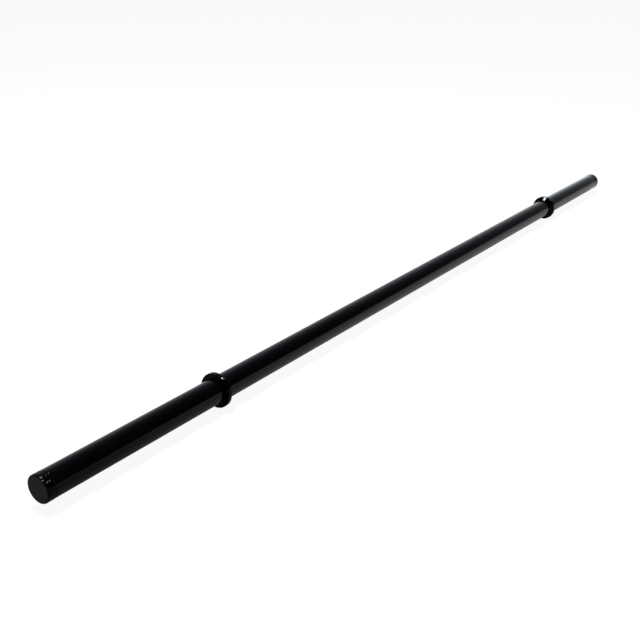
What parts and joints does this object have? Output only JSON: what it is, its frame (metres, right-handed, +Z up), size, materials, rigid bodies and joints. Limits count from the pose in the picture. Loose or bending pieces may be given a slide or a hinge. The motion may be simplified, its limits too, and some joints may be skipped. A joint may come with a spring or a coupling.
{
  "type": "aerobic barbell",
  "caption": "Light one-piece tube barbell with stop collars that set the plate sleeves apart from the handle, and plugged ends.",
  "frame": {"origin": "middle of the bar's length, straight under its axis, at the level that the collars rest on", "axes": "+X along the bar towards its right end, +Z up, screws on the -Y side above the axis"},
  "size_m": [1.35, 0.039, 0.039],
  "materials": {
    "tube_coat": "satin black powder coat on steel tube",
    "collar_coat": "gloss black enamel on turned steel",
    "screw_steel": "zinc plated steel",
    "cap_plastic": "moulded black plastic, fine matt texture"
  },
  "bodies": {
    "root": {"bar_tube": "tube_coat", "left_stop_collar": "collar_coat", "right_stop_collar": "collar_coat", "left_collar_screw": "screw_steel", "right_collar_screw": "screw_steel", "left_end_cap": "cap_plastic", "right_end_cap": "cap_plastic"}
  },
  "joints": []
}
